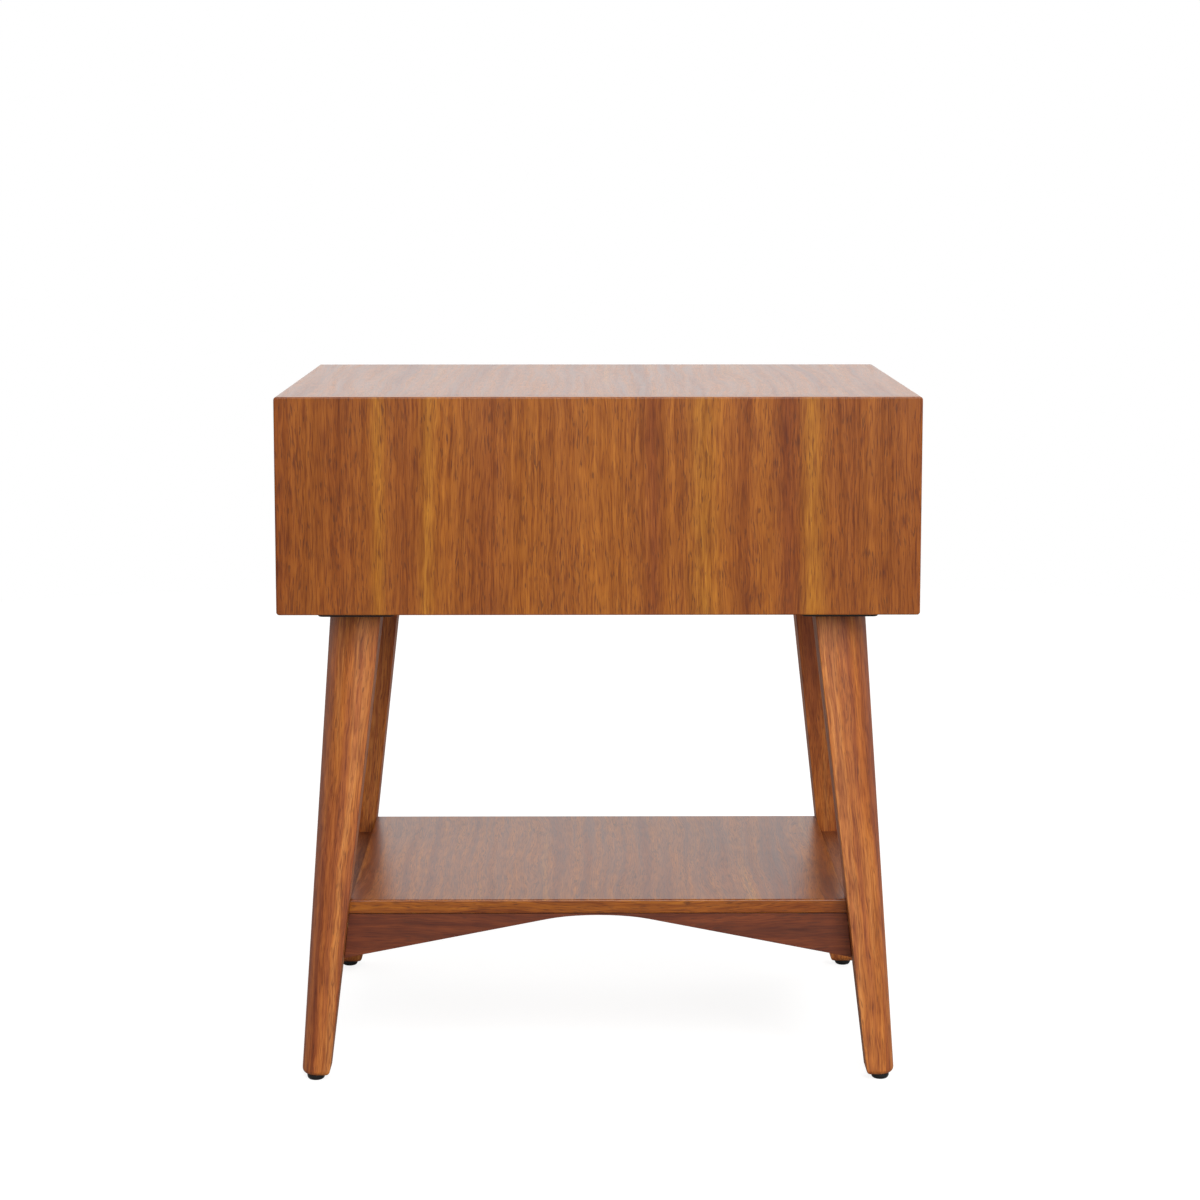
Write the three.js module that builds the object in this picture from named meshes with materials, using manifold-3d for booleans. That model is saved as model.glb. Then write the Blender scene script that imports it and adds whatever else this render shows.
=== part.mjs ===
// A mid-century nightstand: a case with one drawer on four splayed legs, and a low open shelf.
// Millimetres, +Z up. The drawer opens towards -Y, the finished back faces +Y, and left is -X.
// The origin is on the floor, under the middle of the whole object, knobs included.
import * as THREE from "three";
import { mergeVertices } from "three/addons/utils/BufferGeometryUtils.js";
import Module from "manifold-3d";

const wasm = await Module();
wasm.setup();

// ---- overall sizes ----
const overallHeight = 572;
const caseWidth = 521;
const caseDepth = 381;
const caseHeight = 177;

// ---- clearances ----
const seam = 0.3; // between two faces that touch
const boreClearance = 0.3; // round a shank, dowel or nail in its hole
const revealGap = 2.5; // round the drawer front
const holeOverrun = 1; // how far a drilled hole runs past a shank's end

// ---- case and drawer boards ----
const panelThickness = 18;
const backThickness = 12;
const drawerFrontThickness = 18;
const drawerBoardThickness = 12;
const drawerBoardHeight = 100;
const drawerRearSpace = 28.4; // behind the drawer box when it is shut
const drawerBottomThickness = 6;
const drawerBottomHeight = 8; // lower edge of the drawer's sides to the bottom's underside
const drawerGrooveDepth = 6;
const drawerBoxLift = 8; // lower edge of the front to the lower edge of the sides

// ---- slides ----
const slideSpace = 12.7; // case side to drawer side
const slideSetback = 3; // back of the drawer front to the slides' near ends
const slideRearMargin = 19; // slides' far ends to the back of the drawer box
const slideSheet = 1.2;
const slideHeight = 42;
const slideRace = 1.6; // room for the balls between two members
const slideCaseFlange = 8.6; // how far the case member reaches out from the case side
const slideMiddleOffset = 2.8; // case side to the middle member's web
const slideMiddleReach = 10.6;
const slideDrawerReach = 7; // how far the drawer member reaches from the drawer side

// ---- legs ----
const legTopWidth = 43.5;
const legFootWidth = 23.4;
const legTopInset = 38; // case side to the leg's outer face, at the case
const legFootInset = 13; // the same on the floor
const legRoundness = 0.62; // radius of the outer corner, as a share of the leg's width
const legCornerSegments = 12;
const footRounding = 4.4;
const glideHeight = 5;
const glideDiameter = 15;
const nailDiameter = 3;
const nailLength = 14;

// ---- leg plates and their fasteners ----
const plateThickness = 6;
const plateOuterMargin = 7.5; // leg's outer face to the plate's edge
const plateInnerMargin = 11.5;
const plateCornerRadius = 5;
const boltDiameter = 8;
const boltDepthInLeg = 38;
const boltDepthInCase = 14;
const plateScrewDiameter = 4;
const plateScrewHeadDiameter = 7.5;
const plateScrewHeadHeight = 2.4;
const plateScrewDepth = 14;

// ---- shelf frame ----
const shelfTop = 148.1;
const shelfThickness = 12;
const apronHeight = 38;
const apronThickness = 16;
const apronBearing = 8.5; // how much of the apron's thickness lies against the leg
const apronSetback = 1.5; // shelf's edge to the apron's face
const apronWeb = 0.8; // what is left of the apron over the middle
const apronApexWidth = 43;
const railHeight = 39;
const railThickness = 18;
const dowelDiameter = 6;
const dowelLength = 24;
const dowelStagger = 9; // an apron's dowels above mid-height, and a rail's as far below

// ---- knobs ----
const knobDiameter = 28;
const knobStemDiameter = 13;
const knobProjection = 24;
const knobSpacing = 250;
const knobScrewDiameter = 4;
const knobScrewHeadDiameter = 8.5;
const knobScrewHeadHeight = 2.5;
const knobScrewGrip = 10; // thread length inside the knob
const roundSides = 20;
const pinSides = 12;

// ---- places worked out from the sizes ----
const halfWidth = caseWidth / 2;
const halfDepth = caseDepth / 2;
const caseBottom = overallHeight - caseHeight;
const plateTop = caseBottom - seam;
const plateBottom = plateTop - plateThickness;
const legTop = plateBottom - seam;
const innerHalfWidth = halfWidth - panelThickness;
const innerBottom = caseBottom + panelThickness;
const innerTop = overallHeight - panelThickness;
const boardBack = halfDepth - backThickness - seam; // back ends of the four case boards
const drawerFrontBack = -halfDepth + drawerFrontThickness;
const drawerBoxFront = drawerFrontBack + seam;
const drawerBoxBack = boardBack - drawerRearSpace;
const drawerFrontBottom = innerBottom + revealGap;
const drawerFrontTop = innerTop - revealGap;
const drawerBoxBottom = drawerFrontBottom + drawerBoxLift;
const drawerBoxTop = drawerBoxBottom + drawerBoardHeight;
const drawerBoxHalfWidth = innerHalfWidth - slideSpace;
const drawerBottomZ = drawerBoxBottom + drawerBottomHeight;
const slideMiddleZ = (drawerBoxBottom + drawerBoxTop) / 2;
const slideFront = drawerFrontBack + slideSetback;
const slideBack = drawerBoxBack - slideRearMargin;
const knobZ = (drawerFrontBottom + drawerFrontTop) / 2;
const frameTop = shelfTop - shelfThickness - seam; // top of the aprons and side rails

// ---- materials ----
const finish = (color, roughness, metalness = 0) =>
  new THREE.MeshStandardMaterial({ color, roughness, metalness });
const veneer = finish(0x9a5a2b, 0.42);
const solidWood = finish(0x9c5526, 0.45);
const drawerWood = finish(0xc9ab7e, 0.6);
const dowelWood = finish(0xcbb184, 0.7);
const blackSteel = finish(0x1b1a19, 0.5, 0.6);
const zincSteel = finish(0xb4b6b8, 0.35, 1);
const bronze = finish(0x8d6a3c, 0.35, 1);
const blackPlastic = finish(0x161616, 0.5);

// ---- building blocks ----
function piece(name, geometry, material) {
  const mesh = new THREE.Mesh(geometry, material);
  mesh.name = name;
  return mesh;
}

function block(x, y, z) {
  const geometry = new THREE.BoxGeometry(x[1] - x[0], y[1] - y[0], z[1] - z[0]);
  return geometry.translate((x[0] + x[1]) / 2, (y[0] + y[1]) / 2, (z[0] + z[1]) / 2);
}

const shapeOf = (outline) => new THREE.Shape(outline.map(([a, b]) => new THREE.Vector2(a, b)));

// An outline of [y, z] points drawn out along X.
function drawnAlongX(outline, start, end) {
  const geometry = new THREE.ExtrudeGeometry(shapeOf(outline), {
    depth: end - start,
    bevelEnabled: false,
  });
  const turn = new THREE.Matrix4().makeBasis(
    new THREE.Vector3(0, 1, 0),
    new THREE.Vector3(0, 0, 1),
    new THREE.Vector3(1, 0, 0),
  );
  return geometry.applyMatrix4(turn).translate(start, 0, 0);
}

// An outline of [x, z] points drawn out along Y.
function drawnAlongY(outline, start, end) {
  const geometry = new THREE.ExtrudeGeometry(shapeOf(outline), {
    depth: end - start,
    bevelEnabled: false,
  });
  return geometry.rotateX(Math.PI / 2).translate(0, end, 0);
}

// A closed solid through level outlines with equal point counts, anticlockwise from above.
function loft(levels) {
  const count = levels[0].outline.length;
  const positions = levels.flatMap(({ z, outline }) => outline.flatMap(([x, y]) => [x, y, z]));
  const index = [];
  for (let level = 0; level < levels.length - 1; level++) {
    for (let i = 0; i < count; i++) {
      const here = level * count + i;
      const next = level * count + ((i + 1) % count);
      index.push(here, next, next + count, here, next + count, here + count);
    }
  }
  const lid = (outline) =>
    THREE.ShapeUtils.triangulateShape(outline.map(([x, y]) => new THREE.Vector2(x, y)), []);
  for (const [a, b, c] of lid(levels[0].outline)) index.push(a, c, b);
  const last = (levels.length - 1) * count;
  for (const [a, b, c] of lid(levels.at(-1).outline)) index.push(last + a, last + b, last + c);
  const geometry = new THREE.BufferGeometry();
  geometry.setAttribute("position", new THREE.Float32BufferAttribute(positions, 3));
  geometry.setIndex(index);
  geometry.computeVertexNormals();
  return geometry;
}

// A round bar between two points: a dowel, a shank, or the hole for one.
function bar(start, end, diameter, sides = pinSides) {
  const from = new THREE.Vector3(...start);
  const run = new THREE.Vector3(...end).sub(from);
  const geometry = new THREE.CylinderGeometry(diameter / 2, diameter / 2, run.length(), sides);
  const middle = run.clone().multiplyScalar(0.5).add(from);
  const turn = new THREE.Quaternion();
  turn.setFromUnitVectors(new THREE.Vector3(0, 1, 0), run.clone().normalize());
  return geometry.applyQuaternion(turn).translate(middle.x, middle.y, middle.z);
}

// A turned solid from [radius, height] points that start and end on the axis, lowest first.
function turned(profile, sides = roundSides) {
  const points = profile.map(([radius, height]) => new THREE.Vector2(radius, height));
  return new THREE.LatheGeometry(points, sides).rotateX(Math.PI / 2);
}

function solidOf(geometry) {
  const bare = geometry.clone();
  bare.deleteAttribute("normal");
  bare.deleteAttribute("uv");
  const merged = mergeVertices(bare, 1e-3);
  const mesh = new wasm.Mesh({
    numProp: 3,
    vertProperties: new Float32Array(merged.attributes.position.array),
    triVerts: new Uint32Array(merged.index.array),
  });
  return new wasm.Manifold(mesh);
}

function cut(geometry, tools) {
  let solid = solidOf(geometry);
  for (const tool of tools) solid = solid.subtract(solidOf(tool));
  const mesh = solid.getMesh();
  const result = new THREE.BufferGeometry();
  result.setAttribute("position", new THREE.BufferAttribute(mesh.vertProperties, 3));
  result.setIndex(new THREE.BufferAttribute(mesh.triVerts, 1));
  result.computeVertexNormals();
  return result;
}

const sides = [
  { name: "left", x: -1 },
  { name: "right", x: 1 },
];
const ends = [
  { name: "front", y: -1 },
  { name: "back", y: 1 },
];
const corners = ends.flatMap((end) =>
  sides.map((side) => ({ name: `${end.name}_${side.name}`, x: side.x, y: end.y })),
);

// ---- legs: both outer faces lean out towards the floor, and the section shrinks with them ----
function legSection(z) {
  const share = z / legTop;
  const outer = legFootInset + (legTopInset - legFootInset) * share;
  const width = legFootWidth + (legTopWidth - legFootWidth) * share;
  return { outer, width, inner: outer + width, middle: outer + width / 2 };
}
const innerFaceX = (z) => halfWidth - legSection(z).inner;
const innerFaceY = (z) => halfDepth - legSection(z).inner;

// Keeps an outline anticlockwise when it is mirrored into its corner.
function inCorner(corner, outline) {
  const placed = outline.map(([a, b]) => [corner.x * (halfWidth - a), corner.y * (halfDepth - b)]);
  return corner.x * corner.y > 0 ? placed : placed.reverse();
}

// Two square corners and the inner corner stay sharp; the outer corner is one large round.
function legOutline(z, trim = 0) {
  const { outer, width, inner } = legSection(z);
  const low = outer + trim;
  const high = inner - trim;
  const radius = legRoundness * (width - 2 * trim);
  const outline = [
    [high, high],
    [low, high],
  ];
  for (let i = 0; i <= legCornerSegments; i++) {
    const angle = Math.PI + (i / legCornerSegments) * (Math.PI / 2);
    const a = low + radius + radius * Math.cos(angle);
    const b = low + radius + radius * Math.sin(angle);
    outline.push([a, b]);
  }
  outline.push([high, low]);
  return outline;
}

const legAxis = (corner, z) => [
  corner.x * (halfWidth - legSection(z).middle),
  corner.y * (halfDepth - legSection(z).middle),
];
const boltPlace = (corner) => legAxis(corner, legTop);
const glidePlace = (corner) => legAxis(corner, glideHeight);

function legSolid(corner) {
  const roundSteps = 5;
  const levels = [];
  for (let i = 0; i <= roundSteps; i++) {
    const angle = (i / roundSteps) * (Math.PI / 2);
    const z = glideHeight + footRounding * (1 - Math.cos(angle));
    const trim = footRounding * (1 - Math.sin(angle));
    levels.push({ z, outline: inCorner(corner, legOutline(z, trim)) });
  }
  levels.push({ z: legTop, outline: inCorner(corner, legOutline(legTop)) });
  return loft(levels);
}

function leg(corner) {
  const [boltX, boltY] = boltPlace(corner);
  const [nailX, nailY] = glidePlace(corner);
  const clear = 2 * boreClearance;
  const boltFoot = legTop - boltDepthInLeg - holeOverrun;
  const nailTop = glideHeight + nailLength + holeOverrun;
  const holes = [
    bar([boltX, boltY, boltFoot], [boltX, boltY, legTop + 1], boltDiameter + clear),
    bar([nailX, nailY, 0], [nailX, nailY, nailTop], nailDiameter + clear),
    ...dowels.filter((d) => d.corner === corner).map((d) => dowelBar(d, true)),
  ];
  return piece(`${corner.name}_leg`, cut(legSolid(corner), holes), solidWood);
}

function glide(corner) {
  const [x, y] = glidePlace(corner);
  const rim = glideDiameter / 2;
  const top = glideHeight - seam;
  const domeHeight = 3.6;
  const domeSteps = 5;
  const profile = [[0, 0]];
  for (let i = 0; i <= domeSteps; i++) {
    const angle = (i / domeSteps) * (Math.PI / 2);
    const radius = rim - domeHeight * 0.75 * (1 - Math.sin(angle));
    profile.push([radius, domeHeight * (1 - Math.cos(angle))]);
  }
  profile.push([rim, top], [nailDiameter / 2, top], [nailDiameter / 2, top + nailLength]);
  profile.push([0, top + nailLength + nailDiameter / 2]);
  return piece(`${corner.name}_glide`, turned(profile).translate(x, y, 0), blackPlastic);
}

// ---- leg plates, hanger bolts and plate screws ----
const plateSpan = legTopWidth + plateOuterMargin + plateInnerMargin;
const plateMiddle = legTopInset - plateOuterMargin + plateSpan / 2; // inset of its middle
const screwEdge = plateInnerMargin / 2; // plate's inner edge to its screws
const screwInset = legTopInset + legTopWidth + plateInnerMargin - screwEdge;
// One screw stands beside each inner face of the leg.
const plateScrews = corners.flatMap((corner) => [
  { name: `${corner.name}_plate_screw_a`, corner, a: screwInset, b: plateMiddle },
  { name: `${corner.name}_plate_screw_b`, corner, a: plateMiddle, b: screwInset },
]);
const screwPlace = ({ corner, a, b }) => [corner.x * (halfWidth - a), corner.y * (halfDepth - b)];

function roundedSquare(span, radius) {
  const steps = 4;
  const outline = [];
  for (let quarter = 0; quarter < 4; quarter++) {
    const middleAngle = (quarter + 0.5) * (Math.PI / 2);
    const x = Math.sign(Math.cos(middleAngle)) * (span / 2 - radius);
    const y = Math.sign(Math.sin(middleAngle)) * (span / 2 - radius);
    for (let i = 0; i <= steps; i++) {
      const angle = (quarter + i / steps) * (Math.PI / 2);
      outline.push([x + radius * Math.cos(angle), y + radius * Math.sin(angle)]);
    }
  }
  return outline;
}

function legPlate(corner) {
  const x = corner.x * (halfWidth - plateMiddle);
  const y = corner.y * (halfDepth - plateMiddle);
  const outline = roundedSquare(plateSpan, plateCornerRadius).map(([a, b]) => [x + a, y + b]);
  const plate = loft([
    { z: plateBottom, outline },
    { z: plateTop, outline },
  ]);
  const clear = 2 * boreClearance;
  const through = (px, py, diameter) =>
    bar([px, py, plateBottom - 1], [px, py, plateTop + 1], diameter + clear);
  const holes = [
    through(...boltPlace(corner), boltDiameter),
    ...plateScrews
      .filter((screw) => screw.corner === corner)
      .map((screw) => through(...screwPlace(screw), plateScrewDiameter)),
  ];
  return piece(`${corner.name}_leg_plate`, cut(plate, holes), blackSteel);
}

function hangerBolt(corner) {
  const [x, y] = boltPlace(corner);
  const foot = [x, y, legTop - boltDepthInLeg];
  const bolt = bar(foot, [x, y, caseBottom + boltDepthInCase], boltDiameter);
  return piece(`${corner.name}_hanger_bolt`, bolt, zincSteel);
}

function plateScrew(screw) {
  const [x, y] = screwPlace(screw);
  const head = plateScrewHeadDiameter / 2;
  const shank = plateScrewDiameter / 2;
  const headTop = plateBottom - seam;
  const tip = caseBottom + plateScrewDepth;
  const profile = [
    [0, headTop - plateScrewHeadHeight],
    [head * 0.6, headTop - plateScrewHeadHeight],
    [head, headTop - plateScrewHeadHeight * 0.4],
    [head, headTop],
    [shank, headTop],
    [shank, tip - plateScrewDiameter],
    [0, tip],
  ];
  return piece(screw.name, turned(profile, pinSides).translate(x, y, 0), blackSteel);
}

// ---- shelf frame: two side rails, two aprons hollowed into a shallow V, and the shelf ----
const apronDowelZ = frameTop - apronHeight / 2 + dowelStagger;
const apronFace = innerFaceY(apronDowelZ) + apronBearing;
const apronDowelY = (apronFace + innerFaceY(apronDowelZ)) / 2;
const railDowelZ = frameTop - railHeight / 2 - dowelStagger;
const railDowelX = innerFaceX(railDowelZ) + railThickness / 2;
// An apron dowel runs along X into a leg's inner face, and a rail dowel runs along Y.
const dowels = corners.flatMap((corner) => [
  {
    name: `${corner.name}_apron_dowel`,
    corner,
    centre: [corner.x * innerFaceX(apronDowelZ), corner.y * apronDowelY, apronDowelZ],
    along: [1, 0, 0],
  },
  {
    name: `${corner.name}_rail_dowel`,
    corner,
    centre: [corner.x * railDowelX, corner.y * innerFaceY(railDowelZ), railDowelZ],
    along: [0, 1, 0],
  },
]);

function dowelBar({ centre, along }, asHole = false) {
  const reach = dowelLength / 2 + (asHole ? holeOverrun : 0);
  const diameter = dowelDiameter + (asHole ? 2 * boreClearance : 0);
  const start = centre.map((value, i) => value - along[i] * reach);
  const end = centre.map((value, i) => value + along[i] * reach);
  return bar(start, end, diameter);
}

function sideRail(side) {
  const level = (z) => {
    const inner = side.x * innerFaceX(z);
    const outer = inner + side.x * railThickness;
    const reach = innerFaceY(z) - seam;
    const x = [Math.min(inner, outer), Math.max(inner, outer)];
    return { z, outline: [[x[0], -reach], [x[1], -reach], [x[1], reach], [x[0], reach]] };
  };
  const rail = loft([level(frameTop - railHeight), level(frameTop)]);
  const holes = dowels
    .filter((d) => d.along[1] && d.corner.x === side.x)
    .map((d) => dowelBar(d, true));
  return piece(`${side.name}_side_rail`, cut(rail, holes), solidWood);
}

function apron(end) {
  const top = innerFaceX(frameTop) - seam;
  const foot = innerFaceX(frameTop - apronHeight) - seam;
  const bottom = frameTop - apronHeight;
  const apex = apronApexWidth / 2;
  const rise = frameTop - apronWeb;
  const outline = [
    [-top, frameTop],
    [-foot, bottom],
    [-apex * 2, rise - (apex * (rise - bottom)) / (foot - apex)],
    [-apex * 0.6, rise],
    [apex * 0.6, rise],
    [apex * 2, rise - (apex * (rise - bottom)) / (foot - apex)],
    [foot, bottom],
    [top, frameTop],
  ];
  const y = [end.y * apronFace, end.y * (apronFace - apronThickness)].sort((a, b) => a - b);
  const holes = dowels
    .filter((d) => d.along[0] && d.corner.y === end.y)
    .map((d) => dowelBar(d, true));
  return piece(`${end.name}_apron`, cut(drawnAlongY(outline, ...y), holes), solidWood);
}

// The shelf's ends lean with the legs and lie against the side rails and legs.
function shelf() {
  const reach = apronFace + apronSetback;
  const level = (z) => {
    const half = innerFaceX(z) - seam;
    return { z, outline: [[-half, -reach], [half, -reach], [half, reach], [-half, reach]] };
  };
  return piece("shelf_panel", loft([level(shelfTop - shelfThickness), level(shelfTop)]), veneer);
}

// ---- case: four boards mitred at the corners, and a back that covers their ends ----
const mitre = seam / Math.SQRT2; // how far each board stops short of the mitre line

function levelBoard(name, outside, inside, holes = []) {
  const outline = [
    [-halfWidth + mitre, outside],
    [halfWidth - mitre, outside],
    [innerHalfWidth - mitre, inside],
    [-innerHalfWidth + mitre, inside],
  ];
  const board = drawnAlongY(outside < inside ? outline : outline.reverse(), -halfDepth, boardBack);
  return piece(name, holes.length ? cut(board, holes) : board, veneer);
}

function bottomBoard() {
  const clear = 2 * boreClearance;
  const hole = ([x, y], depth, diameter) =>
    bar([x, y, caseBottom - 1], [x, y, caseBottom + depth + holeOverrun], diameter + clear);
  const holes = [
    ...corners.map((corner) => hole(boltPlace(corner), boltDepthInCase, boltDiameter)),
    ...plateScrews.map((screw) => hole(screwPlace(screw), plateScrewDepth, plateScrewDiameter)),
  ];
  return levelBoard("bottom_panel", caseBottom, innerBottom, holes);
}

function sideBoard(side) {
  const outline = [
    [side.x * halfWidth, caseBottom + mitre],
    [side.x * halfWidth, overallHeight - mitre],
    [side.x * innerHalfWidth, innerTop - mitre],
    [side.x * innerHalfWidth, innerBottom + mitre],
  ];
  return piece(`${side.name}_side_panel`, drawnAlongY(outline, -halfDepth, boardBack), veneer);
}

function backBoard() {
  const board = block(
    [-halfWidth, halfWidth],
    [halfDepth - backThickness, halfDepth],
    [caseBottom, overallHeight],
  );
  return piece("back_panel", board, veneer);
}

// ---- slides: three channels on each side, one inside the other ----
// A channel's web stands at one distance from the case side, and its flanges reach to another.
function channel(name, side, web, reach, height) {
  const inward = (u) => side.x * (innerHalfWidth - u);
  const step = reach > web ? slideSheet : -slideSheet;
  const high = height / 2;
  const low = high - slideSheet;
  const outline = [
    [web, -high],
    [reach, -high],
    [reach, -low],
    [web + step, -low],
    [web + step, low],
    [reach, low],
    [reach, high],
    [web, high],
  ].map(([u, v]) => [inward(u), slideMiddleZ + v]);
  return piece(name, drawnAlongY(outline, slideFront, slideBack), zincSteel);
}
const middleSlideHeight = slideHeight - 2 * (slideSheet + slideRace);
const drawerSlideHeight = middleSlideHeight - 2 * (slideSheet + slideRace);
const caseRail = (side) =>
  channel(`${side.name}_case_rail`, side, seam, slideCaseFlange, slideHeight);
const middleRail = (side) =>
  channel(`${side.name}_middle_rail`, side, slideMiddleOffset, slideMiddleReach, middleSlideHeight);
const drawerRail = (side) => {
  const web = slideSpace - seam;
  const reach = slideSpace - slideDrawerReach;
  return channel(`${side.name}_drawer_rail`, side, web, reach, drawerSlideHeight);
};

// ---- drawer ----
const knobPlaces = sides.map((side) => ({ name: side.name, x: (side.x * knobSpacing) / 2 }));
const knobHoles = (from, to) =>
  knobPlaces.map(({ x }) =>
    bar([x, from - 1, knobZ], [x, to + 1, knobZ], knobScrewDiameter + 2 * boreClearance),
  );

function drawerFront() {
  const half = innerHalfWidth - revealGap;
  const height = [drawerFrontBottom, drawerFrontTop];
  const board = block([-half, half], [-halfDepth, drawerFrontBack], height);
  return piece("drawer_front", cut(board, knobHoles(-halfDepth, drawerFrontBack)), veneer);
}

// A board's outline across its thickness, with the groove that holds the drawer's bottom.
function groovedOutline(outside, inside) {
  const floorOfGroove = inside + Math.sign(outside - inside) * drawerGrooveDepth;
  const low = drawerBottomZ - seam;
  const high = drawerBottomZ + drawerBottomThickness + seam;
  return [
    [outside, drawerBoxBottom],
    [inside, drawerBoxBottom],
    [inside, low],
    [floorOfGroove, low],
    [floorOfGroove, high],
    [inside, high],
    [inside, drawerBoxTop],
    [outside, drawerBoxTop],
  ];
}

function drawerSide(side) {
  const outside = side.x * drawerBoxHalfWidth;
  const inside = outside - side.x * drawerBoardThickness;
  const board = drawnAlongY(groovedOutline(outside, inside), drawerBoxFront, drawerBoxBack);
  return piece(`drawer_${side.name}_side`, board, drawerWood);
}
const crossHalfWidth = drawerBoxHalfWidth - drawerBoardThickness - seam;

function drawerInnerFront() {
  const inside = drawerBoxFront + drawerBoardThickness;
  const board = drawnAlongX(groovedOutline(drawerBoxFront, inside), -crossHalfWidth, crossHalfWidth);
  return piece("drawer_inner_front", cut(board, knobHoles(drawerBoxFront, inside)), drawerWood);
}

function drawerBack() {
  const inside = drawerBoxBack - drawerBoardThickness;
  const board = drawnAlongX(groovedOutline(drawerBoxBack, inside), -crossHalfWidth, crossHalfWidth);
  return piece("drawer_back", board, drawerWood);
}

function drawerBottom() {
  const engaged = drawerGrooveDepth - seam;
  const half = drawerBoxHalfWidth - drawerBoardThickness + engaged;
  const board = block(
    [-half, half],
    [
      drawerBoxFront + drawerBoardThickness - engaged,
      drawerBoxBack - drawerBoardThickness + engaged,
    ],
    [drawerBottomZ, drawerBottomZ + drawerBottomThickness],
  );
  return piece("drawer_bottom", board, drawerWood);
}

// Turned about an axis along -Y, with a blind bore for its screw.
function knob({ name, x }) {
  const rim = knobDiameter / 2;
  const stem = knobStemDiameter / 2;
  const bore = knobScrewDiameter / 2 + boreClearance;
  const profile = [
    [0, knobScrewGrip + holeOverrun],
    [bore, knobScrewGrip + holeOverrun],
    [bore, seam],
    [stem + 1.5, seam],
    [stem, 2],
    [stem, knobProjection * 0.42],
    [rim * 0.8, knobProjection * 0.58],
    [rim, knobProjection * 0.74],
    [rim, knobProjection * 0.86],
    [rim * 0.86, knobProjection * 0.97],
    [0, knobProjection],
  ];
  const solid = turned(profile).rotateX(Math.PI / 2);
  return piece(`${name}_knob`, solid.translate(x, -halfDepth, knobZ), bronze);
}

function knobScrew({ name, x }) {
  const head = knobScrewHeadDiameter / 2;
  const shank = knobScrewDiameter / 2;
  const headFace = drawerBoxFront + drawerBoardThickness + seam;
  const reach = headFace + halfDepth + knobScrewGrip;
  const profile = [
    [0, -knobScrewHeadHeight],
    [head * 0.6, -knobScrewHeadHeight],
    [head, -knobScrewHeadHeight * 0.4],
    [head, 0],
    [shank, 0],
    [shank, reach],
    [0, reach],
  ];
  const solid = turned(profile, pinSides).rotateX(Math.PI / 2);
  return piece(`${name}_knob_screw`, solid.translate(x, headFace, knobZ), zincSteel);
}

// ---- the nightstand ----
const caseGroup = new THREE.Group();
caseGroup.add(levelBoard("top_panel", overallHeight, innerTop), bottomBoard(), backBoard());
caseGroup.add(...sides.map(sideBoard), ...sides.map(caseRail));

const slideGroup = new THREE.Group();
slideGroup.add(...sides.map(middleRail));

const drawerGroup = new THREE.Group();
drawerGroup.add(drawerFront(), drawerInnerFront(), drawerBack(), drawerBottom());
drawerGroup.add(...sides.map(drawerSide), ...sides.map(drawerRail));
drawerGroup.add(...knobPlaces.map(knob), ...knobPlaces.map(knobScrew));

const baseGroup = new THREE.Group();
for (const corner of corners) {
  baseGroup.add(leg(corner), glide(corner), legPlate(corner), hangerBolt(corner));
}
baseGroup.add(...plateScrews.map(plateScrew));
baseGroup.add(...sides.map(sideRail), ...ends.map(apron), shelf());
baseGroup.add(...dowels.map((dowel) => piece(dowel.name, dowelBar(dowel), dowelWood)));

const nightstand = new THREE.Group();
nightstand.add(caseGroup, slideGroup, drawerGroup, baseGroup);
nightstand.position.y = knobProjection / 2; // the knobs stand out on one side only

export default nightstand;
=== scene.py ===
import math

import bmesh
import bpy
from mathutils import Matrix, Vector


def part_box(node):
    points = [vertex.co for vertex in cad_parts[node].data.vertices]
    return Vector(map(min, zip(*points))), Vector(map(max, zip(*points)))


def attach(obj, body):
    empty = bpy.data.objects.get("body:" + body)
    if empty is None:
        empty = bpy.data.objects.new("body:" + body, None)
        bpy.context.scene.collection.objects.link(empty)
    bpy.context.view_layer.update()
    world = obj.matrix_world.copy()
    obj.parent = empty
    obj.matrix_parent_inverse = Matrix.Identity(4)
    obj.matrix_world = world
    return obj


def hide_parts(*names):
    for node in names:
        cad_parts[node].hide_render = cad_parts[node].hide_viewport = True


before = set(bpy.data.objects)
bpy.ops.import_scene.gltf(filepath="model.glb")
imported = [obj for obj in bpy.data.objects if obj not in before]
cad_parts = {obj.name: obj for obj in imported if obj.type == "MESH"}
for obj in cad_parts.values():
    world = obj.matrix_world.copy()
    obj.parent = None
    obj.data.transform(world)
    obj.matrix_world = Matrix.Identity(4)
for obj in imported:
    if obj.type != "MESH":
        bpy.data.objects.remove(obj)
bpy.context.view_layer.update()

# A mid-century nightstand: a veneered case with one drawer, on splayed legs with a low shelf.
# Metres, +Z up. The finished back faces +Y, the drawer opens towards -Y, and left is -X.
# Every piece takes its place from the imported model's boxes. The sizes named here are the small
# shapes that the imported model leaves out: eased edges, threads, recesses and bends.
MM = 0.001

# ---- eased edges of the wooden pieces ----
CASE_CORNER = 2.5 * MM  # the case's four long corners
BACK_ARRIS = 1.2 * MM
FRONT_RIM = 0.8 * MM
INNER_RIM = 0.5 * MM
MITRE_GAP = 0.06 * MM  # a tight glue line
DRAWER_FRONT_ARRIS = 1.2 * MM
BOARD_ARRIS = 0.8 * MM
DRAWER_TOP_ARRIS = 1.8 * MM
SHELF_ARRIS = 1.5 * MM
FOOT_ROUNDING = 4.4 * MM
LEG_ROUND_SHARE = 0.62  # radius of a leg's outer corner, as a share of its width
LEG_ARRIS_SHARE = 0.018  # the same for its other three corners
APRON_ARRIS = 0.35 * MM
CLEAT = 12 * MM  # the square strips that carry the shelf's ends
CLEAT_END_GAP = 1 * MM
GLUE_LINE = 0.05 * MM
APRON_APEX_REACH = 43 * MM  # how far the round under the middle runs each way
ROUNDING_STEPS = 8  # rings up the foot of a leg or the dome of a glide

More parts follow.
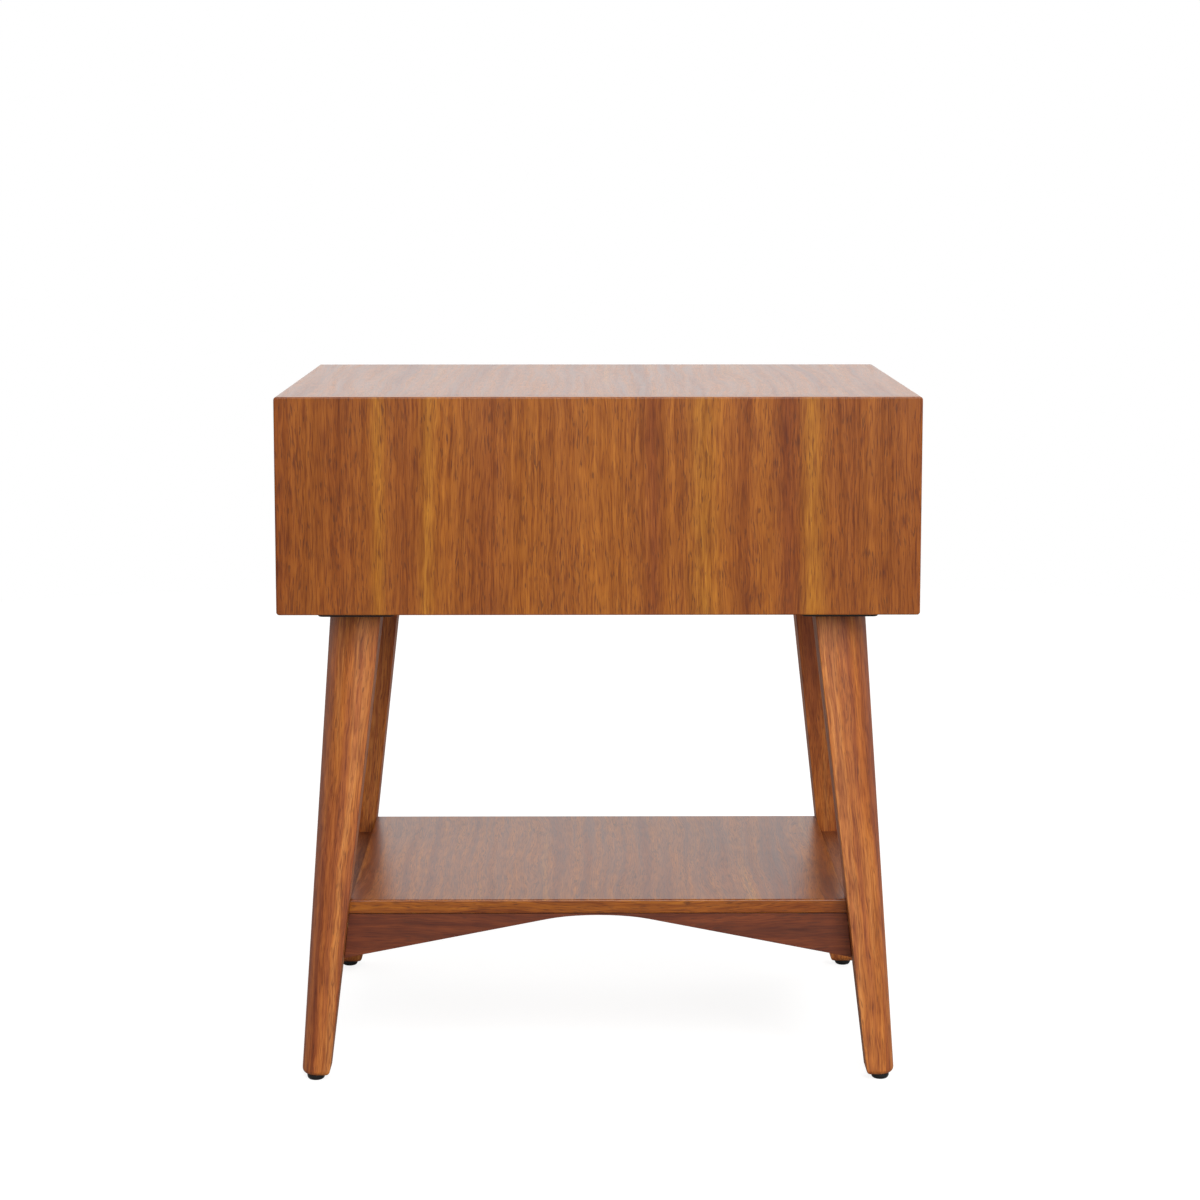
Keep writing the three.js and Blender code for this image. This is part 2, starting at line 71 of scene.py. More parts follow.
# ---- hardware ----
BORE_CLEARANCE = 0.6 * MM  # on the diameter
BORE_OVERRUN = 1 * MM
PLATE_CORNER = 5 * MM
PLATE_ARRIS = 0.8 * MM
PLATE_SCREW_SHANK = 4 * MM
PLATE_SCREW_HEAD = 2.4 * MM  # the heads' heights
KNOB_SCREW_HEAD = 2.5 * MM
KNOB_SCREW_SHANK = 4 * MM
PLATE_SCREW_PITCH = 1.8 * MM
KNOB_SCREW_PITCH = 0.7 * MM
BOLT_PITCH_IN_LEG = 2.4 * MM
BOLT_PITCH_IN_CASE = 1.25 * MM
RECESS_OVERRUN = 0.1 * MM  # how far a recess's tool stands out of the head
GLIDE_NAIL = 3 * MM
GLIDE_DOME = 3.6 * MM  # height of the round part
GLIDE_TO_LEG = 0.3 * MM
DOWEL_FLUTES = 16
DOWEL_CHAMFER = 1 * MM
FLUTE_SHARE = 0.93  # a flute's radius, as a share of the dowel's
DOWEL_TIP_SHARE = 0.8
SHEET = 1.2 * MM  # the slides' steel
SLIDE_BEND = 1.6 * MM
MIDDLE_TRAVEL = 0.13  # half of what the drawer travels
BALL_DIAMETER = 1.5 * MM
BALL_SPACING = 9 * MM
CAGE_THICKNESS = 0.4 * MM
CAGE_MARGIN = 4 * MM  # from a cage's end to its member's end
OUTER_CAGE_WIDTH = 4.5 * MM
INNER_CAGE_WIDTH = 3.6 * MM
SLIDE_SCREW_HEAD = 6 * MM
SLIDE_SCREW_RISE = 0.7 * MM
SLIDE_SCREW_SHARES = (0.09, 0.5, 0.91)  # their places along a slide
ACCESS_HOLE_REACH = (0.2, 0.3)  # in X, well past the middle member on both sides

ROUND_STEPS = 64
HIDDEN_STEPS = 28  # for round pieces inside others

FLOOR_GLOW = 0.82  # on top of the light that falls on it
FLOOR_RADIUS = 2.6
WHITE = (1, 1, 1, 1)
GREY_50 = (0.5, 0.5, 0.5, 1)
GREY_12 = (0.12, 0.12, 0.12, 1)

UP = Vector((0, 0, 1))
SIDES = {"left": -1, "right": 1}
ENDS = {"front": -1, "back": 1}
CORNERS = [(f"{end}_{side}", x, y) for end, y in ENDS.items() for side, x in SIDES.items()]


# ---- camera, light and floor ----
def add_camera():
    """Behind the nightstand, a little above it, looking slightly down at the finished back."""
    distance = 2.1703  # from the back's face
    height = 0.7471
    aside = 0.0117
    yaw = -0.0060
    pitch = 0.1199
    data = bpy.data.cameras.new("camera")
    data.lens = 81.48
    data.sensor_width = 36
    data.shift_y = -0.08
    camera = bpy.data.objects.new("camera", data)
    back_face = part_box("back_panel")[1].y
    camera.location = (aside, back_face + distance, height)
    camera.rotation_euler = (math.pi / 2 - pitch, 0, math.pi + yaw)
    bpy.context.scene.collection.objects.link(camera)
    bpy.context.scene.camera = camera


def add_softbox(name, place, width, height, power):
    aim = Vector((0, 0, 0.3))
    data = bpy.data.lights.new(name, "AREA")
    data.shape = "RECTANGLE"
    data.size = width
    data.size_y = height
    data.energy = power
    light = bpy.data.objects.new(name, data)
    light.location = place
    light.rotation_euler = (aim - Vector(place)).to_track_quat("-Z", "Y").to_euler()
    bpy.context.scene.collection.objects.link(light)


def add_floor():
    bm = bmesh.new()
    bmesh.ops.create_circle(bm, cap_ends=True, segments=96, radius=FLOOR_RADIUS)
    mesh = bpy.data.meshes.new("floor")
    bm.to_mesh(mesh)
    bm.free()
    floor = bpy.data.objects.new("floor", mesh)
    floor.data.materials.append(studio_floor())
    bpy.context.scene.collection.objects.link(floor)


# ---- materials ----
SMOOTH = {"interpolation_type": "SMOOTHSTEP"}


def linear(hex_colour):
    """A colour given as sRGB hex, as the linear values that a shader takes."""
    values = [int(hex_colour[i : i + 2], 16) / 255 for i in (0, 2, 4)]
    return [v / 12.92 if v <= 0.04045 else ((v + 0.055) / 1.055) ** 2.4 for v in values] + [1]


def connect(tree, node, inputs):
    """Sets each input of a node to a value, or links it from another node's output."""
    for name, value in inputs.items():
        if isinstance(value, bpy.types.NodeSocket):
            tree.links.new(value, node.inputs[name])
        else:
            node.inputs[name].default_value = value


def add(tree, kind, settings, inputs=None):
    """One shader node of a kind, such as Math, with its settings and its inputs."""
    node = tree.nodes.new(f"ShaderNode{kind}")
    for name, value in settings.items():
        if name == "stops":
            elements = node.color_ramp.elements
            while len(elements) < len(value):
                elements.new(1)
            for element, (place, colour) in zip(elements, value):
                element.position = place
                element.color = colour
        else:
            setattr(node, name, value)
    connect(tree, node, inputs or {})
    return node


def new_material(name):
    material = bpy.data.materials.new(name)
    material.use_nodes = True
    tree = material.node_tree
    tree.nodes.clear()
    shader = add(tree, "BsdfPrincipled", {})
    add(tree, "OutputMaterial", {}, {"Surface": shader.outputs["BSDF"]})
    return material, tree, shader


def studio_floor():
    """Pale matt board, lit until it reads as white: only a faint shadow under the feet shows."""
    material, tree, shader = new_material("studio_board_matt_pale")
    place = add(tree, "TexCoord", {}).outputs["Object"]
    fleck = add(tree, "TexNoise", {}, {"Vector": place, "Scale": 40}).outputs["Fac"]
    tone = add(tree, "ValToRGB", {"stops": [(0, linear("9C9C9B")), (1, linear("A0A09F"))]}, {"Fac": fleck})
    seen = add(tree, "LightPath", {}).outputs["Is Camera Ray"]
    glow = add(tree, "Math", {"operation": "MULTIPLY"}, {0: seen, 1: FLOOR_GLOW})  # for the eye only
    finish = {
        "Base Color": tone.outputs["Color"],
        "Emission Strength": glow.outputs["Value"],
        "Emission Color": WHITE,
        "Roughness": 0.9,
        "Specular IOR Level": 0.0,
    }
    connect(tree, shader, finish)
    return material


def grain_space(tree, order, lean=(0, 0), shift=(0, 0, 0)):
    """Object coordinates in millimetres as (across, along, through) the grain."""
    place = add(tree, "TexCoord", {}).outputs["Object"]
    scaled = add(
        tree, "Mapping", {}, {"Vector": place, "Location": shift, "Scale": (1 / MM, 1 / MM, 1 / MM)}
    )
    split = add(tree, "SeparateXYZ", {}, {"Vector": scaled.outputs["Vector"]})
    axis = {name: split.outputs[name] for name in "XYZ"}
    for name, slope in zip("XY", lean):
        if slope:
            leaned = add(
                tree,
                "Math",
                {"operation": "MULTIPLY_ADD"},
                {0: split.outputs["Z"], 1: slope, 2: axis[name]},
            )
            axis[name] = leaned.outputs["Value"]
    across, along, through = (axis[name] for name in order)
    wave = add(tree, "CombineXYZ", {}, {"X": across, "Y": along, "Z": through})
    return wave.outputs["Vector"]


def grained_noise(tree, space, across, along, detail=2, roughness=0.5, swing=None):
    """Noise stretched along the grain, with its features' size in millimetres each way.

    swing is (low, high, to_low, to_high): the span of the noise that counts, and what it becomes.
    """
    stretched = add(
        tree, "VectorMath", {"operation": "MULTIPLY"}, {0: space, 1: (1 / across, 1 / along, 1 / across)}
    )
    noise = add(
        tree,
        "TexNoise",
        {},
        {"Vector": stretched.outputs["Vector"], "Scale": 1, "Detail": detail, "Roughness": roughness},
    )
    if not swing:
        return noise.outputs["Fac"]
    spans = dict(zip(("From Min", "From Max", "To Min", "To Max"), swing))
    spans["Value"] = noise.outputs["Fac"]
    return add(tree, "MapRange", SMOOTH, spans).outputs["Result"]


def uneven_gloss(tree, pattern, gloss):
    """Roughness that follows a pattern, from one value to another."""
    return add(
        tree,
        "MapRange",
        SMOOTH,
        {"Value": pattern, "From Min": 0.3, "From Max": 0.7, "To Min": gloss[0], "To Max": gloss[1]},
    ).outputs["Result"]


def stained(tree, colour, pattern, stops):
    """A colour under tones that follow a pattern: (value of the pattern, tone) each."""
    tones = add(tree, "ValToRGB", {"stops": [(at, linear(tone)) for at, tone in stops]}, {"Fac": pattern})
    return add(
        tree,
        "Mix",
        {"data_type": "RGBA", "blend_type": "MULTIPLY"},
        {0: 1, 6: colour, 7: tones.outputs["Color"]},
    ).outputs[2]


def lacquered_wood(
    name, order, stops, span, lean=(0, 0), shift=(0, 0, 0), pores=1.0, sway=5.0, gloss=(0.29, 0.33)
):
    """Wood with its pores, fibre and slow figure under satin lacquer.

    stops are (place, colour) across the grain over span, a (start, width) in millimetres. Where
    span is None the stops are picked by slow noise, as on boards whose strips follow no list.
    """
    material, tree, shader = new_material(name)
    space = grain_space(tree, order, lean, shift)
    drift = grained_noise(tree, space, 60, 240, detail=1, swing=(0.25, 0.75, -sway, sway))
    tremble = grained_noise(tree, space, 7, 38, detail=1, swing=(0.2, 0.8, -0.9, 0.9))
    moved = add(tree, "Math", {"operation": "ADD"}, {0: drift, 1: tremble})
    push = add(tree, "CombineXYZ", {}, {"X": moved.outputs["Value"]})
    swayed = add(
        tree, "VectorMath", {"operation": "ADD"}, {0: space, 1: push.outputs["Vector"]}
    ).outputs["Vector"]

    if span:
        across = add(tree, "SeparateXYZ", {}, {"Vector": swayed}).outputs["X"]
        start, width = span
        place = add(
            tree, "MapRange", {}, {"Value": across, "From Min": start, "From Max": start + width}
        ).outputs["Result"]
    else:
        place = grained_noise(tree, swayed, 15, 900, roughness=0.55, swing=(0.28, 0.72, 0, 1))
    colour = add(
        tree, "ValToRGB", {"stops": [(at, linear(tone)) for at, tone in stops]}, {"Fac": place}
    ).outputs["Color"]

    # Growth streaks, fibre, and a painted sheen: a soft mottle of lighter and darker colour that runs
    # across them in place of light shimmering on the lacquer.
    streaks = grained_noise(tree, swayed, 3.4, 170, detail=3, roughness=0.6)
    fibre = grained_noise(tree, swayed, 0.8, 22)
    # Painted sheen: lighter and darker patches of colour that stand in for the lacquer's shimmer of light.
    painted_sheen = grained_noise(tree, swayed, 9, 24)
    colour = stained(tree, colour, streaks, [(0.3, "D0BFAE"), (0.5, "EFE8E1"), (0.68, "FFFFFF")])
    colour = stained(tree, colour, fibre, [(0.34, "C9B29C"), (0.5, "F0E9E2"), (0.66, "FFFFFF")])
    colour = stained(tree, colour, painted_sheen, [(0.35, "EDE9E5"), (0.65, "FFFFFF")])

    # Open pores: short dark dashes, 0.7 by 9 mm, closer together in some zones.
    dashes = grained_noise(tree, swayed, 0.7, 9, detail=1, roughness=0.4)
    sparse = grained_noise(tree, swayed, 13, 60, detail=1, swing=(0.3, 0.7, 0.09, 0))
    lifted = add(tree, "Math", {"operation": "SUBTRACT"}, {0: dashes, 1: sparse})
    pore = add(
        tree,
        "MapRange",
        SMOOTH,
        {"Value": lifted.outputs["Value"], "From Min": 0.555, "From Max": 0.66, "To Max": 0.62 * pores},
    ).outputs["Result"]
    colour = add(tree, "Mix", {"data_type": "RGBA"}, {0: pore, 6: colour, 7: linear("4E2410")}).outputs[2]

    # The fibre stands up a little, and the pores are sunk.
    raised = add(
        tree, "MapRange", SMOOTH, {"Value": fibre, "From Min": 0.3, "From Max": 0.7, "To Max": 0.25}
    ).outputs["Result"]
    depth = add(tree, "Math", {"operation": "SUBTRACT"}, {0: raised, 1: pore})
    bump = add(
        tree, "Bump", {}, {"Strength": 0.06, "Distance": 0.04 * MM, "Height": depth.outputs["Value"]}
    )
    finish = {
        "Base Color": colour,
        "Normal": bump.outputs["Normal"],
        "Roughness": uneven_gloss(tree, streaks, gloss),
        "IOR": 1.5,
    }
    connect(tree, shader, finish)
    return material


# Tones of the veneer and the solid wood under their lacquer.
GOLD = "C38023"
ORANGE = "B9701D"
BROWN = "AE661B"
RUSSET = "A45C18"
UMBER = "974F15"

# The back's strips of veneer, in millimetres from its +X side, each fading into the next.
BACK_STRIPS = [
    (0, UMBER), (10, RUSSET), (28, BROWN), (50, RUSSET), (74, BROWN), (82, GOLD),
    (91, BROWN), (105, RUSSET), (115, BROWN), (122, GOLD), (132, ORANGE), (150, BROWN),
    (172, RUSSET), (200, ORANGE), (236, BROWN), (256, ORANGE), (282, ORANGE), (298, BROWN),
    (306, UMBER), (318, ORANGE), (331, BROWN), (348, GOLD), (364, ORANGE), (380, RUSSET),
    (394, ORANGE), (411, UMBER), (420, RUSSET), (431, GOLD), (446, BROWN), (466, RUSSET),
    (478, BROWN), (521, RUSSET),
]
BOARD_TONES = [(0, UMBER), (0.25, RUSSET), (0.45, BROWN), (0.65, ORANGE), (0.85, BROWN), (1, GOLD)]


def veneer(name, order, shift=(0, 0, 0)):
    """Sliced acacia veneer under satin lacquer: soft bands along the grain and short dark pores."""
    return lacquered_wood(name, order, BOARD_TONES, None, shift=shift)


def back_veneer():
    """The same veneer with the back's own run of strips, upright."""
    low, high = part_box("back_panel")
    width = (high.x - low.x) / MM
    strips = [(1 - at / width, tone) for at, tone in reversed(BACK_STRIPS)]
    return lacquered_wood("acacia_veneer_upright_strips", "XZY", strips, (low.x / MM, width), sway=2.5)


def plywood(name, order, face):
    """Sanded birch plywood under matt lacquer: pale soft figure, and fine layers at the edges."""
    material, tree, shader = new_material(name)
    space = grain_space(tree, order)
    ply = 1.5  # millimetres to each layer
    through = add(tree, "SeparateXYZ", {}, {"Vector": space}).outputs["Z"]
    from_face = add(tree, "Math", {"operation": "SUBTRACT"}, {0: through, 1: face / MM})
    layer = add(tree, "Math", {"operation": "PINGPONG"}, {0: from_face.outputs["Value"], 1: ply})
    crossed = add(
        tree,
        "MapRange",
        SMOOTH,
        {"Value": layer.outputs["Value"], "From Min": ply * 0.42, "From Max": ply * 0.58},
    ).outputs["Result"]
    figure = grained_noise(tree, space, 16, 210, detail=3)
    fibre = grained_noise(tree, space, 0.9, 26)
    colour = add(
        tree,
        "ValToRGB",
        {"stops": [(0.3, linear("C7A878")), (0.52, linear("D6BB8F")), (0.72, linear("DDC59C"))]},
        {"Fac": figure},
    ).outputs["Color"]
    colour = add(
        tree, "Mix", {"data_type": "RGBA"}, {0: crossed, 6: colour, 7: linear("AD8857")}
    ).outputs[2]
    bump = add(tree, "Bump", {}, {"Strength": 0.25, "Distance": 0.05 * MM, "Height": fibre})
    finish = {
        "Base Color": stained(tree, colour, fibre, [(0.32, "E8DFD3"), (0.62, "FFFFFF")]),
        "Normal": bump.outputs["Normal"],
        "Roughness": uneven_gloss(tree, figure, (0.5, 0.62)),
        "IOR": 1.48,
    }
    connect(tree, shader, finish)
    return material


def beech():
    """Bare turned beech for the dowels: pale, with short dark ray flecks."""
    material, tree, shader = new_material("beech_turned_bare")
    space = grain_space(tree, "XZY")
    flecks = grained_noise(tree, space, 0.5, 2.5, detail=1)
    colour = add(
        tree,
        "ValToRGB",
        {"stops": [(0.3, linear("A8804F")), (0.5, linear("CDAE7D")), (1, linear("D9BE92"))]},
        {"Fac": flecks},
    )
    connect(tree, shader, {"Base Color": colour.outputs["Color"], "Roughness": 0.7})
    return material


def surface(name, noise_size, dark, light, gloss, bump_depth, metallic=0.0):
    """A made surface whose colour, gloss and height all vary at one real size, in metres."""
    material, tree, shader = new_material(name)
    place = add(tree, "TexCoord", {}).outputs["Object"]
    grit = add(
        tree, "TexNoise", {}, {"Vector": place, "Scale": 1 / noise_size, "Detail": 3, "Roughness": 0.55}
    ).outputs["Fac"]
    colour = add(tree, "ValToRGB", {"stops": [(0.35, linear(dark)), (0.65, linear(light))]}, {"Fac": grit})
    bump = add(tree, "Bump", {}, {"Strength": 0.4, "Distance": bump_depth, "Height": grit})
    finish = {
        "Base Color": colour.outputs["Color"],
        "Roughness": uneven_gloss(tree, grit, gloss),
        "Normal": bump.outputs["Normal"],
        "Metallic": metallic,
    }
    connect(tree, shader, finish)
    return material


def black_steel():
    """Powder-coated steel: black, with a fine orange-peel texture that scatters its gloss."""
    return surface("steel_powder_coated_black", 0.7 * MM, "141312", "1E1D1B", (0.42, 0.55), 0.05 * MM)


def zinc_steel():
    """Zinc-plated steel: bright bluish grey with soft clouds in its gloss."""
    return surface("steel_zinc_plated", 3 * MM, "A9ADB1", "C6C9CA", (0.24, 0.4), 0.01 * MM, metallic=1.0)


def ball_steel():
    """Polished bearing steel: the slides' balls, bright and nearly mirror-like."""
    return surface(
        "steel_polished_balls", 1 * MM, "C4C4C2", "D4D4D2", (0.08, 0.16), 0.002 * MM, metallic=1.0
    )


def bronze():
    """Satin bronze, turned and buffed: warm, with a fine soft mottle in its tone and gloss."""
    return surface(
        "bronze_satin_turned", 0.5 * MM, "8A683B", "A88250", (0.26, 0.38), 0.01 * MM, metallic=1.0
    )


def black_plastic():
    """Moulded nylon: near black, with a low sheen and a faint spark-eroded texture."""
    return surface("nylon_moulded_black", 0.4 * MM, "111111", "1A1A1A", (0.38, 0.5), 0.03 * MM)


# ---- mesh work ----
def block(low, high):
    bm = bmesh.new()
    bmesh.ops.create_cube(bm, size=1)
    bmesh.ops.scale(bm, vec=high - low, verts=bm.verts)
    bmesh.ops.translate(bm, vec=(low + high) / 2, verts=bm.verts)
    return bm


def edges_at(bm, **planes):
    """Edges that lie in every plane given, such as x=0.1."""
    return [
        edge
        for edge in bm.edges
        if all(
            abs(getattr(vert.co, axis) - place) < 0.01 * MM
            for vert in edge.verts
            for axis, place in planes.items()
        )
    ]


def ease(bm, edges, radius, segments=3):
    bmesh.ops.bevel(
        bm,
        geom=edges,
        offset=radius,
        offset_type="OFFSET",
        segments=segments,
        profile=0.5,
        affect="EDGES",
        material=-1,
        clamp_overlap=True,
    )


def round_off(bm, verts, reach, segments):
    """Rounds corners of a flat outline or a wire."""
    bmesh.ops.bevel(
        bm,
        geom=verts,
        offset=reach,
        offset_type="OFFSET",
        segments=segments,
        profile=0.5,
        affect="VERTICES",
        material=-1,
    )


def sliced(bm, point, removed_side):
    """Clears what lies beyond a plane and closes the cut."""
    cut = bmesh.ops.bisect_plane(
        bm,
        geom=bm.verts[:] + bm.edges[:] + bm.faces[:],
        dist=0.0001 * MM,
        plane_co=point,
        plane_no=removed_side,
        clear_outer=True,
    )
    loop = [part for part in cut["geom_cut"] if isinstance(part, bmesh.types.BMEdge)]
    bmesh.ops.edgeloop_fill(bm, edges=loop)


def extruded(bm, faces, move):
    """Pulls faces out along move and returns the new ones; a lone face leaves a closing one behind."""
    alone = all(edge.is_boundary for face in faces for edge in face.edges)
    made = bmesh.ops.extrude_face_region(bm, geom=faces)["geom"]
    if not alone:
        bmesh.ops.delete(bm, geom=faces, context="FACES_ONLY")
    verts = [part for part in made if isinstance(part, bmesh.types.BMVert)]
    bmesh.ops.transform(bm, matrix=move, verts=verts)
    return [part for part in made if isinstance(part, bmesh.types.BMFace)]


def flat_outline(points):
    """One flat face through a few corner points."""
    bm = bmesh.new()
    bm.faces.new([bm.verts.new(point) for point in points])
    return bm


def point_along(bm, base, direction):
    """Moves a shape that stands on +Z at the origin to base, and turns it to point along direction."""
    turn = UP.rotation_difference(direction).to_matrix().to_4x4()
    bmesh.ops.transform(bm, matrix=Matrix.Translation(base) @ turn, verts=bm.verts)


def turned(profile, base, direction=UP, steps=ROUND_STEPS):
    """A round solid from (radius, height, rounding) points, from its axis back to its axis."""
    bm = bmesh.new()
    verts = [bm.verts.new((radius, 0, height)) for radius, height, _ in profile]
    for start, end in zip(verts, verts[1:]):
        bm.edges.new((start, end))
    for vert, (_, _, rounding) in zip(verts, profile):
        if rounding:
            round_off(bm, [vert], rounding, 4)
    bmesh.ops.spin(
        bm,
        geom=bm.verts[:] + bm.edges[:],
        cent=(0, 0, 0),
        axis=UP,
        angle=2 * math.pi,
        steps=steps,
        use_merge=True,
    )
    bmesh.ops.remove_doubles(bm, verts=bm.verts, dist=0.001 * MM)
    point_along(bm, base, direction)
    bmesh.ops.recalc_face_normals(bm, faces=bm.faces)
    return bm


def joined(parts):
    """Several meshes as one, each left as it is."""
    whole = bmesh.new()
    for part in parts:
        mesh = bpy.data.meshes.new("part")
        part.to_mesh(mesh)
        part.free()
        whole.from_mesh(mesh)
        bpy.data.meshes.remove(mesh)
    return whole


def cut_away(bm, tools):
    """The solid with the tools' shapes taken out of it."""
    scene = bpy.context.scene
    objects = []
    for name, source in (("work", bm), ("tool", joined(tools))):
        bmesh.ops.recalc_face_normals(source, faces=source.faces)
        mesh = bpy.data.meshes.new(name)
        source.to_mesh(mesh)
        source.free()
        objects.append(bpy.data.objects.new(name, mesh))
        scene.collection.objects.link(objects[-1])
    work, tool = objects
    cut = work.modifiers.new("cut", "BOOLEAN")
    cut.operation = "DIFFERENCE"
    cut.solver = "EXACT"
    cut.object = tool
    bpy.context.view_layer.update()
    evaluated = work.evaluated_get(bpy.context.evaluated_depsgraph_get())
    result = bmesh.new()
    result.from_mesh(evaluated.to_mesh())
    evaluated.to_mesh_clear()
    for used in objects:
        mesh = used.data
        bpy.data.objects.remove(used)
        bpy.data.meshes.remove(mesh)
    bmesh.ops.remove_doubles(result, verts=result.verts, dist=0.001 * MM)
    return result


def rod(start, end, diameter):
    """A plain round bar, as the tool for a drilled hole."""
    run = end - start
    bm = bmesh.new()
    bmesh.ops.create_cone(
        bm,
        cap_ends=True,
        segments=HIDDEN_STEPS,
        radius1=diameter / 2,
        radius2=diameter / 2,
        depth=run.length,
    )
    point_along(bm, (start + end) / 2, run)
    return bm


def long_axis(node):
    """The two end points and the diameter of a round piece, from its box."""
    low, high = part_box(node)
    size = high - low
    along = max(range(3), key=lambda i: size[i])
    start = (low + high) / 2
    end = start.copy()
    start[along] = low[along]
    end[along] = high[along]
    return start, end, min(size)


def bore_for(node, diameter=None):
    """The hole that a bolt, screw or dowel sits in, a little wider and longer than it is."""
    start, end, width = long_axis(node)
    ahead = (end - start).normalized() * BORE_OVERRUN
    return rod(start - ahead, end + ahead, (diameter or width) + BORE_CLEARANCE)


def slice_box(node, height):
    """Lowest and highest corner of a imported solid's own points at one height."""
    points = [vert.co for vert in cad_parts[node].data.vertices if abs(vert.co.z - height) < 0.05 * MM]
    low = Vector(min(point[i] for point in points) for i in range(3))
    high = Vector(max(point[i] for point in points) for i in range(3))
    return low, high


def piece(name, bm, body, materials, node=None, smooth_below=40):
    """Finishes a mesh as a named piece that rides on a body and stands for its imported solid."""
    bmesh.ops.remove_doubles(bm, verts=bm.verts, dist=0.001 * MM)
    bmesh.ops.recalc_face_normals(bm, faces=bm.faces)
    for face in bm.faces:
        face.smooth = True
    for edge in bm.edges:
        edge.smooth = edge.calc_face_angle(math.pi) < math.radians(smooth_below)
    mesh = bpy.data.meshes.new(name)
    bm.to_mesh(mesh)
    bm.free()
    made = bpy.data.objects.new(name, mesh)
    for material in materials:
        mesh.materials.append(material)
    bpy.context.scene.collection.objects.link(made)
    weighted = made.modifiers.new("flat faces stay flat", "WEIGHTED_NORMAL")
    weighted.keep_sharp = True
    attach(made, body)
    if node:
        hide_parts(node)


def mark_faces(bm, *facing):
    """Gives the flat faces that look in these directions the second of the piece's materials."""
    bmesh.ops.recalc_face_normals(bm, faces=bm.faces)
    for face in bm.faces:
        if any(face.normal.dot(way) > 0.9 for way in facing):
            face.material_index = 1


# ---- the case ----
CASE = "case_and_base"
back_low, back_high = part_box("back_panel")
top_low, top_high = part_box("top_panel")
case_low = Vector((back_low.x, top_low.y, back_low.z))
case_high = Vector((back_high.x, top_high.y, back_high.z))
panel = top_high.z - top_low.z
FRONT = Vector((0, -1, 0))


def ease_long_corners(bm, low, high):
    for x in (low.x, high.x):
        for z in (low.z, high.z):
            ease(bm, edges_at(bm, x=x, z=z), CASE_CORNER, 6)


def case_board(node, outward, across, materials, holes=()):
    """One side of the case, cut with mitred ends from a block of the case's outer shape."""
    bm = block(case_low, case_high)
    ease_long_corners(bm, case_low, case_high)
    ease(bm, edges_at(bm, y=case_low.y), FRONT_RIM)
    centre = (case_low + case_high) / 2
    half = (case_high - case_low) / 2
    outer_reach = abs(half.dot(outward))
    cross_reach = abs(half.dot(across))
    inner_point = centre + outward * (outer_reach - panel)
    sliced(bm, inner_point, -outward)
    for sign in (-1, 1):
        corner = centre + outward * outer_reach + across * cross_reach * sign
        removed = (across * sign - outward).normalized()
        sliced(bm, corner - removed * MITRE_GAP / 2, removed)
    arris = [
        edge
        for edge in edges_at(bm, y=case_low.y)
        if all(abs((vert.co - inner_point).dot(outward)) < 0.01 * MM for vert in edge.verts)
    ]
    ease(bm, arris, INNER_RIM)
    if holes:
        bm = cut_away(bm, holes)
    mark_faces(bm, FRONT)
    piece(f"{node}_veneered", bm, CASE, materials, node)


def back_board(materials):
    bm = block(back_low, back_high)
    ease_long_corners(bm, back_low, back_high)
    ease(bm, edges_at(bm, y=back_high.y), BACK_ARRIS, 4)
    mark_faces(bm, UP, -UP)
    piece("back_panel_veneered", bm, CASE, materials, "back_panel")


# ---- the drawer ----
def drawer_front(materials):
    low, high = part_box("drawer_front")
    bm = block(low, high)
    for x in (low.x, high.x):
        ease(bm, edges_at(bm, x=x, z=low.z) + edges_at(bm, x=x, z=high.z), BOARD_ARRIS)
    ease(bm, edges_at(bm, y=low.y), DRAWER_FRONT_ARRIS, 4)
    ease(bm, edges_at(bm, y=high.y), INNER_RIM)
    bm = cut_away(bm, [bore_for(f"{side}_knob_screw", KNOB_SCREW_SHANK) for side in SIDES])
    mark_faces(bm, UP, -UP)
    piece("drawer_front_veneered", bm, "drawer", materials, "drawer_front")


def drawer_groove():
    """The channel round the inside of the drawer that its bottom slides into."""
    low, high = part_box("drawer_bottom")
    room = Vector((1, 1, 1)) * BORE_CLEARANCE / 2
    return block(low - room, high + room)


def drawer_board(node, materials, holes=()):
    low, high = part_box(node)
    bm = block(low, high)
    ease(bm, edges_at(bm, z=high.z), DRAWER_TOP_ARRIS, 4)
    ease(bm, edges_at(bm, z=low.z), INNER_RIM)
    bm = cut_away(bm, [drawer_groove(), *holes])
    piece(f"{node}_plywood", bm, "drawer", materials, node)


def drawer_bottom(materials):
    low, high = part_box("drawer_bottom")
    bm = block(low, high)
    ease(bm, bm.edges[:], INNER_RIM)
    piece("drawer_bottom_plywood", bm, "drawer", materials, "drawer_bottom")


def cross_recess(head_face, direction, size, depth):
    """A tapering cross, the tool for a screw head's recess."""
    arm = size / 2
    half_blade = size / 9
    corners = []
    for quarter in range(4):
        turn = Matrix.Rotation(quarter * math.pi / 2, 3, "Z")
        for x, y in ((arm, -half_blade), (arm, half_blade), (half_blade, half_blade)):
            corners.append(turn @ Vector((x, y, RECESS_OVERRUN)))
    bm = flat_outline(corners)
    taper = Matrix.Diagonal((0.45, 0.45, 1, 1))
    extruded(bm, bm.faces[:], Matrix.Translation(-UP * depth) @ taper)
    point_along(bm, head_face, direction)
    return bm


def thread(radius, start, end, pitch):
    """A screw thread's ridges as profile points, from one height to another."""
    turns = max(1, round(abs(end - start) / pitch))
    step = (end - start) / turns
    depth = min(0.6 * pitch, 0.25 * radius)
    ridges = []
    for i in range(turns):
        ridges.append((radius - depth, start + i * step, 0))
        ridges.append((radius, start + (i + 0.5) * step, 0))
    return ridges + [(radius - depth, end, 0)]


